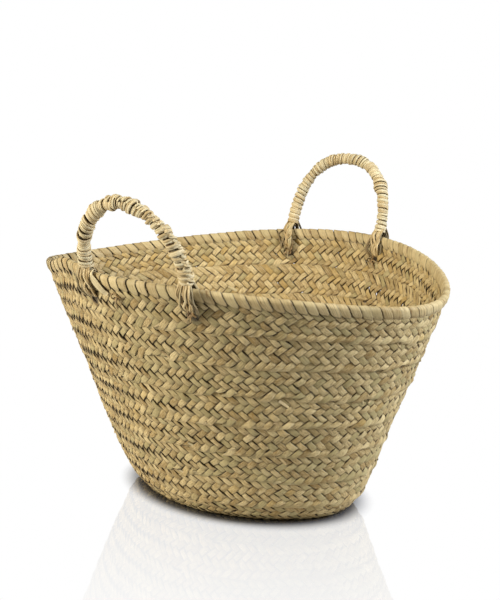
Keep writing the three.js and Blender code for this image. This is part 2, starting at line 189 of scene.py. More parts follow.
# The sewer pulls the plait into one continuous skin: a pointed oval that flares from the base to a
# mouth whose two ends dip. Everything on the bag is placed on it by an angle round from +X and by a
# run up the slope from the edge of the flat base.
RIM_HALF_LENGTH = 0.2465
RIM_HALF_WIDTH = 0.1935
RIM_HEIGHT = 0.246
BASE_HALF_LENGTH = 0.138
BASE_HALF_WIDTH = 0.098
CORNER_HEIGHT = 0.0317
CORNER_INSET = 0.017
MOUTH_SHIFT_X = -0.0103
MOUTH_SHIFT_Y = -0.0051
RIM_DIP = 0.0135
RIM_TILT_LENGTH = 0.0017
RIM_TILT_SIDE = -0.0008
BASE_POINT = 0.163
RIM_POINT = 0.307
BLUNT_END = 0.128
FLARE_POWER = 0.979
WAVER = 0.001
RESTS_AT = 0.0001
PULL_HEIGHT = 0.009
PULL_AT = radians(-106)
PULL_REACH = radians(10)


def half_sizes(share):
    flare = share ** FLARE_POWER
    below = np.maximum(0, 1 - RIM_HEIGHT * share / CORNER_HEIGHT)
    inset = CORNER_INSET * (1 - np.sqrt(1 - below * below))
    return (
        BASE_HALF_LENGTH + (RIM_HALF_LENGTH - BASE_HALF_LENGTH) * flare - inset,
        BASE_HALF_WIDTH + (RIM_HALF_WIDTH - BASE_HALF_WIDTH) * flare - inset,
    )


def so_far(steps):
    return np.concatenate([[0], np.cumsum(steps)])


shares = np.linspace(0, 1, 241) ** 2
runs = so_far(np.hypot(np.diff(half_sizes(shares)[1]), np.diff(RIM_HEIGHT * shares)))
WALL_RUN = runs[-1]


def pulled_up(angle, share):
    """The rim by the front handle's left foot stands a little higher than its sweep."""
    return PULL_HEIGHT * share ** 5 * np.exp(-((angle - PULL_AT) / PULL_REACH) ** 2)


def skin(angle, run):
    share = np.interp(run, runs, shares)
    inset = np.maximum(0, -run)
    length, width = half_sizes(share)
    point = BASE_POINT + (RIM_POINT - BASE_POINT) * share
    c, s = np.cos(angle), np.sin(angle)
    dip = RIM_DIP * np.cos(2 * angle) - RIM_TILT_LENGTH * c - RIM_TILT_SIDE * s
    x = (length - inset) * c + MOUTH_SHIFT_X * share
    y = (width - inset) * s * (1 - point * c * c) * (1 + BLUNT_END * share * c) + MOUTH_SHIFT_Y * share
    z = RIM_HEIGHT * share - dip * share * share + pulled_up(angle, share)
    return np.stack([x, y, z], axis=-1)


def unit(vectors):
    return vectors / np.linalg.norm(vectors, axis=-1, keepdims=True)


def skin_frame(angle, run):
    reach = 1e-4
    low = np.minimum(run, WALL_RUN - 2 * reach)
    across = skin(angle + reach, low) - skin(angle - reach, low)
    up = unit(skin(angle, low + reach) - skin(angle, low - reach))
    return unit(np.cross(across, up)), up


def within(share):
    return np.clip(share, 0, 1)


def in_wall(angle, run, depth, rise=0.0):
    """A point under the outer face by a depth, and past the run by a rise up the slope."""
    angle, run, depth, rise = np.broadcast_arrays(angle, run, depth, rise)
    out, up = skin_frame(angle, run)
    height = within(run / WALL_RUN)
    uneven = np.sin(3 * angle + 9 * height) + np.sin(7 * angle - 5 * height + 1) * 0.6
    bulge = WAVER * np.sin(np.pi * height) * uneven
    place = skin(angle, run) + out * (bulge - depth)[..., None] + up * rise[..., None]
    place[..., 2] = np.maximum(place[..., 2], RESTS_AT)
    return place


def round_lengths(run):
    """Angles once round the bag at a run, and the distance gone at each."""
    turns = np.linspace(-np.pi, np.pi, 721)
    line = skin(turns, run)
    return turns, so_far(np.linalg.norm(np.diff(line, axis=0), axis=1))


# The leaf is split into strips and left undyed. It is matte and straw to khaki, with fine fibres
# along each strip, splits where a strip is two narrow blades, and brown flecks. Painted shade
# darkens it where a strip goes out of sight, along its edges and in the crack of each split.
LEAF_FLECK = (0.20, 0.085, 0.022, 1)
# The colour that painted shade darkens the leaf toward.
LEAF_GAP_SHADE = (0.020, 0.010, 0.003, 1)
FIBRES_PER_METRE = 110
PATCHES_PER_METRE = 55
FLECKS_PER_METRE = 75
TONE_BY_LEAF = 0.5
TONE_BY_PATCH = 0.56
GREYED = 0.6
GILDED = 0.38
BLADES_IN_STRIP = 3.0
# How dark the painted shade is in a split's crack and where a strip is out of sight.
SPLIT_SHADE = 0.6
HIDDEN_SHADE = 0.96


def leaf_group():
    group = bpy.data.node_groups.new("palm_leaf", "ShaderNodeTree")
    for way, kind, names in (
        ("INPUT", "Color", "Pale Deep Grey Gold Gap"), ("INPUT", "Float", "Fibres Flecks Shade Across"),
        ("OUTPUT", "Color", "Color"), ("OUTPUT", "Float", "Roughness Height"),
    ):
        for name in names.split():
            group.interface.new_socket(name=name, in_out=way, socket_type="NodeSocket" + kind)
    given = add_node(group, "NodeGroupInput").outputs
    uv = add_node(group, "UVMap", uv_map="strip").outputs[0]
    ends = add_node(group, "SeparateXYZ", {0: uv}).outputs
    leaf = add_node(group, "VertexColor", layer_name="leaf").outputs["Color"]
    chance = add_node(group, "SeparateColor", {0: leaf}).outputs
    tuck_shade = add_node(group, "Attribute", attribute_name="tuck_shade").outputs["Fac"]

    def value(operation, *values):
        return math_node(group, operation, *values)

    def part(mask, share):
        return value("MULTIPLY", mask, share)

    def noise(along, across, seed, detail):
        where = add_node(group, "CombineXYZ", {
            "X": part(ends["X"], along), "Y": part(ends["Y"], across), "Z": part(chance["Red"], seed),
        })
        return add_node(group, "TexNoise", {
            "Vector": where.outputs[0], "Scale": 1.0, "Detail": detail, "Roughness": 0.6,
        }).outputs["Fac"]

    def mix(share, under, over):
        return add_node(group, "Mix", {0: share, 6: under, 7: over}, data_type="RGBA").outputs[2]

    def between(at, low, high):
        return smooth_range(group, at, low, high)

    fibres = noise(FIBRES_PER_METRE, given["Across"], 61, 3)
    patches = noise(PATCHES_PER_METRE, 1.6, 37, 2)
    spots = noise(FLECKS_PER_METRE, 3.5, 83, 2)
    streak = part(value("SUBTRACT", fibres, 0.5), given["Fibres"])
    tone = value("ADD", part(chance["Red"], TONE_BY_LEAF), part(patches, TONE_BY_PATCH))
    tone = value("ADD", tone, streak)
    color = mix(between(tone, 0.1, 0.98), given["Deep"], given["Pale"])
    color = mix(part(between(chance["Green"], 0.5, 0.05), GREYED), color, given["Grey"])
    color = mix(part(between(chance["Green"], 0.66, 1.0), GILDED), color, given["Gold"])
    color = mix(part(between(spots, 0.62, 0.72), given["Flecks"]), color, LEAF_FLECK)
    # A split is a groove in the bump, and its dark line is painted shade in the crack.
    blades = value("FRACT", value("ADD", part(ends["Y"], BLADES_IN_STRIP), part(patches, 0.5)))
    split = part(between(blades, 0.14, 0.04), between(chance["Blue"], 0.66, 0.72))
    # Painted shade: thin dark lines along the strip's edges, and darkness where it is out of sight.
    edge = between(value("ABSOLUTE", value("SUBTRACT", ends["Y"], 0.5)), 0.44, 0.5)
    edge = part(edge, between(patches, 0.42, 0.62))
    hidden = part(value("POWER", tuck_shade, 2.0), HIDDEN_SHADE)
    shade = part(value("MAXIMUM", edge, hidden), given["Shade"])
    color = mix(value("MAXIMUM", part(split, SPLIT_SHADE), shade), color, given["Gap"])
    height = value("SUBTRACT", part(fibres, 0.7), split)
    rough = add_node(group, "MapRange", {"Value": fibres, "To Min": 0.48, "To Max": 0.8})
    add_node(group, "NodeGroupOutput", {
        "Color": color, "Roughness": rough.outputs["Result"], "Height": height,
    })
    return group


palm_leaf = leaf_group()


def leaf_material(name, pale, deep, grey, gold, fibres, flecks, shade, across,
                  relief=0.0004, gap=LEAF_GAP_SHADE):
    material, tree = empty_material(name)
    leaf = add_node(tree, "Group", node_tree=palm_leaf)
    for socket, value in zip(leaf.inputs, (pale, deep, grey, gold, gap, fibres, flecks, shade, across)):
        socket.default_value = value
    bump = add_node(tree, "Bump", {
        "Height": leaf.outputs["Height"], "Strength": 0.5, "Distance": relief,
    })
    surface = add_node(tree, "BsdfPrincipled", {
        "Base Color": leaf.outputs["Color"], "Roughness": leaf.outputs["Roughness"],
        "Normal": bump.outputs["Normal"], "Specular IOR Level": 0.4,
    })
    add_node(tree, "OutputMaterial", {"Surface": surface.outputs[0]})
    return material


plait_leaf = leaf_material(
    "plait_leaf", (0.82, 0.63, 0.295, 1), (0.32, 0.195, 0.052, 1), (0.42, 0.345, 0.14, 1),
    (0.62, 0.40, 0.10, 1), fibres=1.2, flecks=0.5, shade=0.95, across=10)

# Every strip on the bag is a flat blade with thin edges: a row of like cross-sections, joined from
# end to end.
BLADE = np.array([
    (-1, 0), (-0.92, 0.72), (-0.7, 1), (0.7, 1), (0.92, 0.72),
    (1, 0), (0.92, -0.72), (0.7, -1), (-0.7, -1), (-0.92, -0.72),
])
# How dark the painted shade is across a blade, darkest at its thin edges.
BLADE_EDGE_SHADE = np.interp(np.abs(BLADE[:, 0]), (0.7, 0.92, 1), (0, 0.6, 1))


def strip_mesh(name, points, lengths, tints, tuck_shades, material, hop=None):
    """Strips from points[strip, station, corner], with the way gone along them in metres,
    tints[strip, station] as three chances, and painted shade, 1 where a corner is out of sight.
    With a hop, strip k runs on into strip k + hop, and without one its ends are closed."""
    count, stations, corners, _ = points.shape
    index = np.arange(count * stations * corners).reshape(count, stations, corners)
    far, ahead = np.roll(index, -1, axis=1), np.roll(lengths, -1, axis=1)
    far[:, -1] = index[(np.arange(count) + (hop or 0)) % count, 0]
    ahead[:, -1] = 2 * lengths[:, -1] - lengths[:, -2]
    spans = stations if hop else stations - 1
    near, far = index[:, :spans], far[:, :spans]

    def onward(ring):
        return np.roll(ring, -1, axis=2)

    quads = np.stack([near, far, onward(far), onward(near)], axis=-1).reshape(-1, 4)
    caps = index[:0, 0] if hop else np.concatenate([index[:, 0, ::-1], index[:, -1]])
    start = quads[:, 0] // corners
    u = np.stack([lengths.ravel()[start], ahead.ravel()[start]], axis=-1)[:, [0, 1, 1, 0]]
    u = np.concatenate([u.ravel(), lengths.ravel()[caps.ravel() // corners]])
    sides = (BLADE[:, 0] + 1) / 2 if corners == len(BLADE) else np.linspace(0, 1, corners)
    v = sides[np.concatenate([quads.ravel(), caps.ravel()]) % corners]
    tint = tints.reshape(-1, 3)[np.concatenate([np.repeat(start, 4), caps.ravel() // corners])]
    flat = points.reshape(-1, 3)
    mesh = bpy.data.meshes.new(name)
    mesh.from_pydata(flat.tolist(), [], quads.tolist() + caps.tolist())
    mesh.uv_layers.new(name="strip").data.foreach_set("uv", np.stack([u, v], axis=-1).ravel())
    colors = np.concatenate([tint, np.ones((len(tint), 1))], axis=1)
    mesh.color_attributes.new("leaf", "FLOAT_COLOR", "CORNER").data.foreach_set("color", colors.ravel())
    tuck_shades = np.broadcast_to(tuck_shades, index.shape).ravel()
    mesh.attributes.new("tuck_shade", "FLOAT", "POINT").data.foreach_set("value", tuck_shades)
    mesh.polygons.foreach_set("use_smooth", [True] * len(mesh.polygons))
    a, b, c = flat[quads[:, 0]], flat[quads[:, 1]], flat[quads[:, 2]]
    if np.einsum("ij,ij->i", a, np.cross(b, c)).sum() < 0:
        mesh.flip_normals()
    mesh.materials.append(material)
    piece = bpy.data.objects.new(name, mesh)
    scene.collection.objects.link(piece)
    return piece


# The plait is about 36 mm wide and 4.5 mm thick. Its nine strips go over two and under two, so that
# each face shows four rows of slanting floats that lean right and left in turn. A strip crosses the
# plait at a slant, folds back over the edge, and crosses again. The way across is nine columns.
PLAIT_WIDTH = 0.0335
STRIPS = 9
STRIP_STEP = 0.0094
STRIP_LAYER = 0.00115
STRIP_HALF_WIDTH = 0.508
STRIP_HALF_THICKNESS = 0.0006
PLAIT_DEPTH = 0.0021
BROADER_BETWEEN = 0.18
EDGE_SHADE = 0.95
FILL = 1.1
CUP = 0.00024
ROLL = 0.00028
# How much the floats differ in width, place along the plait, rise, and roll about their length.
WIDTH_CHANCE = 0.08
DRIFT_CHANCE = 0.058
RISE_CHANCE = 0.22
ROLL_CHANCE = 0.0003
FOLD_COLUMNS = 0.13
FOLD_RISE = 0.8
FLOAT_COLUMNS = 2
FLOAT_RISE = ((0.25, 0.9), (0.6, 1.32), (1, 1.5), (1.4, 1.32), (1.75, 0.9))
FLOAT_MIDDLES = (0, 1.5, 3.5, 5.5, 7.5, 9)
ROW_EDGES = (0, 0.5, 2.5, 4.5, 6.5, 8.5, 9)
ROW_EDGES_SEWN = (0, 0.14, 2.1, 4.08, 6.06, 8.03, 8.6)
# Round the left end the plait stands ajar, in the middle and at its folds, with painted shade in the
# gaps.
AJAR = 0.75
AJAR_PINCH = 0.12
AJAR_SHADE = 1.8
AJAR_AT = radians(-132)
AJAR_REACH = radians(45)
GAPES = ((0, 1.2, 3.4, 4.1), (1, 0, 0, 1))


def crossing():
    """One strip's way across, from fold to fold: columns, layers, and how far the section is
    turned from the crossing strips' lean to the edge's."""
    stations = [(0, 0, 1), (FOLD_COLUMNS, FOLD_RISE, 1)]
    side = 1
    starts = np.arange(0.5, STRIPS - 1, FLOAT_COLUMNS)
    for start in starts:
        stations += [(start + at, side * rise, 0) for at, rise in FLOAT_RISE]
        if start < starts[-1]:
            stations.append((start + FLOAT_COLUMNS, 0, 0))
        side = -side
    stations.append((STRIPS - FOLD_COLUMNS, -FOLD_RISE * side, 1))
    return np.array(stations).T


def each_float(rng, count, column, size):
    """A chance of a size for each float of each strip, which fades out at the folds."""
    chance = np.clip(rng.standard_normal((count, len(FLOAT_MIDDLES))), -2, 2)
    chance[:, [0, -1]] = 0
    ramps = [np.interp(column[:, 0], FLOAT_MIDDLES, row) for row in np.eye(len(FLOAT_MIDDLES))]
    return size * (chance @ np.array(ramps))[:, :, None]


def plait_strips(count, column_width, rng, ajar=0.0):
    """Every strip of a plait, as columns across, steps along and heights off its middle. Where it
    stands ajar, the strips are narrower at the folds and along the plait's middle. Painted shade
    darkens their edges, the floats' ends, the faces turned into the plait, and where it stands ajar."""
    column, layer, turned = crossing()[:, :, None]
    going = np.gradient(np.append(column, STRIPS))[:-1, None] * column_width
    rising = np.gradient(np.append(layer, 0))[:-1, None] * STRIP_LAYER
    going[0], rising[0] = 0, 1
    step = np.hypot(going, rising)
    going, rising = going / step, rising / step
    lifted = layer * (1 - turned)
    gaping = np.interp(np.abs(column - STRIPS / 2), *GAPES)
    ajar = np.reshape(ajar, (-1, 1, 1))
    breadth = 1 + BROADER_BETWEEN * within(1 - np.abs(layer)) * (1 - turned)
    breadth = breadth * (1 - ajar * np.where(ajar > 0, AJAR_PINCH * gaping, 1))
    # Painted shade along the edges, at the floats' ends and on faces turned inward.
    edges = EDGE_SHADE * BLADE_EDGE_SHADE * (1 - 0.4 * turned)
    ends = within(1.2 - np.abs(layer)) * np.where(turned > 0, 0.5, 1)
    columns, steps, heights, tuck_shades, faces_out = [], [], [], [], []
    for way in (1, -1):
        width = 1 + each_float(rng, count, column, WIDTH_CHANCE)
        width = BLADE[:, 0] * STRIP_HALF_WIDTH * breadth * width
        seen = np.sign(lifted) * way * BLADE[:, 1]
        thick = BLADE[:, 1] * STRIP_HALF_THICKNESS * way * (1 + FILL * np.abs(lifted) * (seen < 0))
        thick = thick - CUP * lifted * BLADE[:, 0] ** 2
        drift = each_float(rng, count, column, DRIFT_CHANCE)
        bow = 1 + each_float(rng, count, column, RISE_CHANCE)
        roll = ROLL * (1 - turned) + each_float(rng, count, column, ROLL_CHANCE)
        across = column + (turned - 1) * width - rising * thick / column_width
        along = column / 2 + (1 + turned) * width / 2 + drift
        columns.append(across if way == 1 else STRIPS - across)
        steps.append(along if way == 1 else STRIPS / 2 + along)
        heights.append(layer * STRIP_LAYER * bow + going * thick + roll * BLADE[:, 0])
        faces_in = within(-way * lifted * BLADE[:, 1] / 0.8)
        tuck_shades.append(np.maximum(np.maximum(faces_in, edges), ends))
        faces_out.append(within(0.5 + way * (1 - turned) * BLADE[:, 1]))
    sewn = np.interp(np.concatenate(columns, axis=1), ROW_EDGES, ROW_EDGES_SEWN)
    order = np.arange(count)[:, None, None]
    # Painted shade where the plait stands ajar.
    shadow = within(np.tile(gaping, (2, 1)) * ajar * AJAR_SHADE)
    tuck_shades = np.maximum(np.tile(np.concatenate(tuck_shades), (count, 1, 1)), shadow)
    height = np.concatenate(heights, axis=1)
    return sewn, np.concatenate(steps, axis=1) + order, height, tuck_shades, np.concatenate(faces_out)


TINT_SPREAD = 1.15
TINT_BY_LEAF = 0.55
LEAF_LASTS = 3 * STRIPS
GREY_SIDE = radians(-50)
GREY_SIDE_SHARE = 0.12


def leaf_tints(count, stations, rng):
    """Three chances for each crossing: mostly those of its strip, which comes round every ninth
    crossing and is pieced out with a new leaf now and then. One side of the bag is greyer."""
    order = np.arange(count)
    leaf = rng.uniform(0, 1, (STRIPS, count, 3))[order % STRIPS, order // LEAF_LASTS]
    own = rng.uniform(0, 1, (count, 2, 3))
    tints = TINT_BY_LEAF * leaf[:, None] + (1 - TINT_BY_LEAF) * own
    tints = 0.5 + TINT_SPREAD * (tints - 0.5)
    greyer = GREY_SIDE_SHARE * np.cos(2 * np.pi * order / count - np.pi - GREY_SIDE)
    tints[:, :, 1] -= greyer[:, None]
    return np.repeat(within(tints), stations // 2, axis=1)


def smooth(share):
    return share * share * (3 - 2 * share)


SEAM_LAP = 0.0003
RIGHT_LAP = 0.0009
RIGHT_REACH = radians(38)
LAP_FROM = 0.3
LAP_COLUMNS = 2.6


def lap(column, angle):
    """The lower edge lies outside the round below it, and the upper edge inside the one above.
    Round the right end the edges part more."""
    low = 1 - within((column - LAP_FROM) / LAP_COLUMNS)
    high = within((column - STRIPS + LAP_FROM + LAP_COLUMNS) / LAP_COLUMNS)
    size = SEAM_LAP + RIGHT_LAP * np.exp(-(angle / RIGHT_REACH) ** 2)
    return size * (smooth(low) - smooth(high))


# A seam's waves: their size, how many go round the bag, and their shift from seam to seam.
SEAM_WAVES = ((0.0013, 4, 2.1), (0.0009, 9, 3.7), (0.0005, 17, 1.3))


def seam_waver(seam, angle):
    """How far a seam strays up or down."""
    return sum(size * np.sin(waves * angle + shift * seam) for size, waves, shift in SEAM_WAVES)


def near(angle, at, reach):
    """1 at a place round the bag, and less away from it on both sides."""
    return np.exp((np.cos(angle - at) - 1) * 2 / reach ** 2)


def plait_piece(name, node, points, tuck_shades, rng, hop=None):
    """A piece of the plait, made from its strips. It stands for a CAD node."""
    count, stations = points.shape[:2]
    along = np.arange(stations) * STRIP_STEP * 0.65 + 0.31 * np.arange(count)[:, None]
    tints = leaf_tints(count, stations, rng)
    piece = strip_mesh(name, points, along, tints, tuck_shades, plait_leaf, hop)
    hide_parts(node)
    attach(piece, "basket")


RAGGED = 0.0014
RAGGED_COLUMNS = 1.5
FULL_AT_RIGHT = 0.10
HOLE_RADIUS = 0.0052
HOLE_REACH = 0.02
# How far painted shade reaches round the holes, under the next round and under the binding.
HOLE_SHADE_TO = 1.7
LAP_SHADE = 0.75
COVERED_COLUMNS = 1.2
COVERED_BLEND = 0.6
BINDING_SHADE_FROM = 0.0135
BINDING_SHADE_AT_LEFT = 0.0015
BINDING_SHADE_BLEND = 0.003
RIM_CORE_RADIUS = 0.0022
BINDING_SKIN = 0.0016
CLEARANCE = 0.00035
RIM_EDGE = BINDING_SKIN + 2 * (CLEARANCE + RIM_CORE_RADIUS)


def sewn_round(name, node, low, high, seam, holes=()):
    """A turn of the plait round the bag, between two runs. Its seams stray a little, but the rim's
    edge runs true. Holes, each an angle and a run, push the strips aside. Painted shade darkens
    the plait round each hole and where the rim's binding or the next round covers it."""
    rng = np.random.default_rng(seam + 30)
    turns, lengths = round_lengths((low + high) / 2)
    count = round(lengths[-1] / STRIP_STEP)
    facing = np.interp((np.arange(count) + STRIPS / 4) / count % 1 * lengths[-1], lengths, turns)
    ajar = AJAR * near(facing, AJAR_AT, AJAR_REACH) if low > 0 else 0.0
    ajar = ajar - FULL_AT_RIGHT * near(facing, 0, RIGHT_REACH)
    column, step, height, tuck_shades, outer = plait_strips(count, (high - low) / STRIPS, rng, ajar)
    distance = (step / count) % 1 * lengths[-1]
    share = column / STRIPS
    angle = np.interp(distance, lengths, turns)
    at_rim = high > WALL_RUN - RIM_EDGE - 0.001
    stray = (1 - share) * seam_waver(seam, angle) + (0 if at_rim else share * seam_waver(seam + 1, angle))
    stray += RAGGED * rng.standard_normal((count, 1, 1)) * within(1 - column / RAGGED_COLUMNS)
    run = low + (high - low) * share + stray
    for hole_angle, hole_run in holes:
        aside, above = distance - np.interp(hole_angle, turns, lengths), run - hole_run
        reach = np.maximum(np.hypot(aside, above), 1e-5)
        opened = HOLE_RADIUS * within(1 - reach / HOLE_REACH)
        push = np.hypot(reach, opened) / reach - 1
        # Painted shade round the hole.
        tuck_shades = np.maximum(tuck_shades, within(HOLE_SHADE_TO - reach / HOLE_RADIUS))
        distance, run = distance + aside * push, run + above * push
    angle = np.interp(distance, lengths, turns)
    points = in_wall(angle, run, PLAIT_DEPTH - height - lap(column, angle))
    # Painted shade under the rim's binding and where the next round covers the plait.
    binding_shade_from = BINDING_SHADE_FROM + BINDING_SHADE_AT_LEFT * near(angle.mean(axis=2), AJAR_AT, AJAR_REACH)
    binding_shade = within((run.mean(axis=2) - WALL_RUN + binding_shade_from) / BINDING_SHADE_BLEND)
    upper = within((column - STRIPS + COVERED_COLUMNS) / COVERED_BLEND) * outer
    lower = within((COVERED_COLUMNS - column) / COVERED_BLEND) * (1 - outer)
    covered = LAP_SHADE * np.maximum(0 if at_rim else upper, lower)
    tuck_shades = np.maximum(np.maximum(tuck_shades, binding_shade[:, :, None]), covered)
    plait_piece(name, node, points, tuck_shades, rng, hop=STRIPS)


flat_half_length, flat_half_width = half_sizes(0)
BASE_ROUNDS = max(1, round((flat_half_width - PLAIT_WIDTH / 2) / PLAIT_WIDTH))
BASE_PITCH = (flat_half_width - PLAIT_WIDTH / 2) / BASE_ROUNDS
CENTRE_BLUNT = 0.12
CENTRE_LAP = 1.12


def base_centre():
    rng = np.random.default_rng(3)
    half_length = flat_half_length - BASE_ROUNDS * BASE_PITCH
    half_width = flat_half_width - BASE_ROUNDS * BASE_PITCH
    count = round(2 * half_length / STRIP_STEP) + STRIPS
    column, step, height, tuck_shades, _ = plait_strips(count, 2 * half_width / STRIPS, rng)
    share = np.clip((step - STRIPS / 2) / (count - STRIPS / 2) * 2 - 1, -1, 1)
    angle = share * np.pi / 2
    width = half_width * (CENTRE_BLUNT + (1 - CENTRE_BLUNT) * np.cos(angle)) * CENTRE_LAP
    points = np.stack([
        half_length * np.sin(angle), (column / STRIPS * 2 - 1) * width,
        np.maximum(PLAIT_DEPTH - height, RESTS_AT)], axis=-1)
    plait_piece("plait_base_centre", "base_centre", points, tuck_shades, rng)


base_centre()
base_seams = [-(BASE_ROUNDS - i) * BASE_PITCH for i in range(BASE_ROUNDS + 1)]
base_lap = BASE_PITCH / (STRIPS - 1) / 2
for i in range(1, BASE_ROUNDS + 1):
    low, high = base_seams[i - 1] - base_lap, base_seams[i] + base_lap
    sewn_round(f"plait_base_{i}", f"base_round_{i}", low, high, i - BASE_ROUNDS)

# The wall
# The same plait turns up at the edge of the base and goes on round by round to the rim. The
# lowest round bends up through the corner. The top one's edge is later hidden in the binding,
# and an awl has opened four holes in it for the handles.
AXIS_DROP = 0.0115
FOOT_REACH = 0.01429
FRONT_FEET = np.radians((-94.5, -66))
BACK_FEET = np.radians((104.4, 76.1))
plaited_run = WALL_RUN - RIM_EDGE
WALL_ROUNDS = max(3, round(plaited_run / PLAIT_WIDTH))
wall_pitch = plaited_run / WALL_ROUNDS
wall_lap = wall_pitch / (STRIPS - 1) / 2
foot_holes = [(angle, WALL_RUN - AXIS_DROP - FOOT_REACH) for angle in (*FRONT_FEET, *BACK_FEET)]
for i in range(1, WALL_ROUNDS):
    low, high = (i - 1) * wall_pitch - wall_lap, i * wall_pitch + wall_lap
    sewn_round(f"plait_wall_{i}", f"wall_round_{i}", low, high, i)
low = (WALL_ROUNDS - 1) * wall_pitch - wall_lap
sewn_round("plait_wall_top", "wall_top_round", low, WALL_ROUNDS * wall_pitch, WALL_ROUNDS, foot_holes)

# The sewing cord
# A thin leaf cord runs through the folds of two neighbouring rounds and draws them together. It
# shows as short brown stitches where two folds part.
PLAIT_THICKNESS = 0.0045
CORD_SIDES = 5
# An even, slight painted shade over every cord.
CORD_SHADE = 0.2
STEPS_PER_STITCH = 4
STEPS_PER_LEAF = 20
SEWING = {"radius": 0.0005, "sway": 0.0009, "weave": 0.0008, "step": STRIP_STEP}
cord_leaf = leaf_material(
    "cord_leaf", (0.36, 0.24, 0.10, 1), (0.15, 0.09, 0.035, 1), (0.30, 0.26, 0.14, 1),
    (0.40, 0.25, 0.09, 1), fibres=0.8, flecks=0.5, shade=0.5, across=5, relief=0.0002)


def cord_round(name, node, run, radius, sway, weave, step, seed, plies=1):
    """A cord that runs once round the bag at a run, straying up and down and in and out once in
    every step. Two plies wind about each other instead of straying."""
    rng = np.random.default_rng(seed)
    turns, lengths = round_lengths(min(run, WALL_RUN))
    stitches = round(lengths[-1] / step)
    count = STEPS_PER_STITCH * stitches
    share = np.arange(count) / count
    angle = np.interp(share * lengths[-1], lengths, turns)
    stray = seam_waver(round(run / wall_pitch) + 1, angle) if plies == 1 else 0
    around = 2 * np.pi * np.arange(CORD_SIDES) / CORD_SIDES
    strands = []
    for ply in range(plies):
        turn = 2 * np.pi * (stitches * share + ply / plies)
        rise = (sway * np.cos(turn) + stray)[:, None] + radius * np.sin(around)
        depth = (PLAIT_THICKNESS / 2 - weave * np.sin(turn))[:, None] - radius * np.cos(around)
        strands.append(in_wall(angle[:, None], run, depth, rise))
    leaves = rng.uniform(0, 1, (plies, count // STEPS_PER_LEAF + 1, 3))
    shade = np.repeat(leaves, STEPS_PER_LEAF, axis=1)[:, :count]
    along = np.tile(share * lengths[-1], (plies, 1))
    piece = strip_mesh(name, np.array(strands), along, shade, CORD_SHADE, cord_leaf, hop=plies)
    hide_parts(node)
    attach(piece, "basket")


for i in range(1, BASE_ROUNDS + 1):
    cord_round(f"sewing_base_{i}", f"base_lace_{i}", base_seams[i - 1], seed=40 + i, **SEWING)
for i in range(1, WALL_ROUNDS + 1):
    cord_round(f"sewing_wall_{i}", f"wall_lace_{i}", (i - 1) * wall_pitch, seed=50 + i, **SEWING)

# The rim
# A two-ply cord lies along the top edge, and wide strips of leaf are wrapped over cord and edge
# side by side. Each strip comes up the outside, goes over the crown and ends inside, tucked
# between the floats. They slant like a twisted rope, less so round the left end.
RIM_CORD = {"radius": 0.0011, "sway": 0.0011, "weave": 0.0011, "step": 0.014, "plies": 2}
RIM_STRIP_STEP = 0.0104
RIM_STRIP_SHARE = 0.497
RIM_STRIP_HALF_THICKNESS = 0.0004
RIM_STRIP_TIP = 0.00032
RIM_BAND = 0.0090
RIM_TAIL = 0.0042
RIM_TAIL_NARROWS = 0.42
LEFT_TAIL_NARROWS = 0.16
LEFT_REACH = 0.12
RIM_CROWN = -0.0036
# Half of the way round the edge: how far up the slope, and how far off the wall's middle.
RIM_SIDE = (
    (-RIM_BAND - RIM_TAIL, 0.0012), (-RIM_BAND - RIM_TAIL * 0.5, 0.0021), (-RIM_BAND, 0.0029),
    (-0.0082, 0.0031), (-0.0058, 0.0030),
)
RIM_SLANT = 0.56
LEFT_UPRIGHT = 0.9
UPRIGHT_TO = radians(-71)
UPRIGHT_FROM = radians(-168)
UPRIGHT_BLEND = radians(6)
# How much the strips differ in place, in slant, in width and in the reach of their outer ends.
RIM_CHANCES = (0.06, 0.03, 0.010, 0.07)
RIM_BROADER = 1.5
RIM_BROAD_AT = radians(-138)
RIM_BROAD_REACH = radians(30)
rim_leaf = leaf_material(
    "rim_leaf", (0.74, 0.57, 0.27, 1), (0.34, 0.215, 0.065, 1), (0.46, 0.38, 0.165, 1),
    (0.54, 0.34, 0.095, 1), fibres=0.9, flecks=0.6, shade=0.9, across=12)
rim_cord_run = WALL_RUN - BINDING_SKIN - CLEARANCE - RIM_CORE_RADIUS
cord_round("rim_cord", "rim_core", rim_cord_run, seed=70, **RIM_CORD)


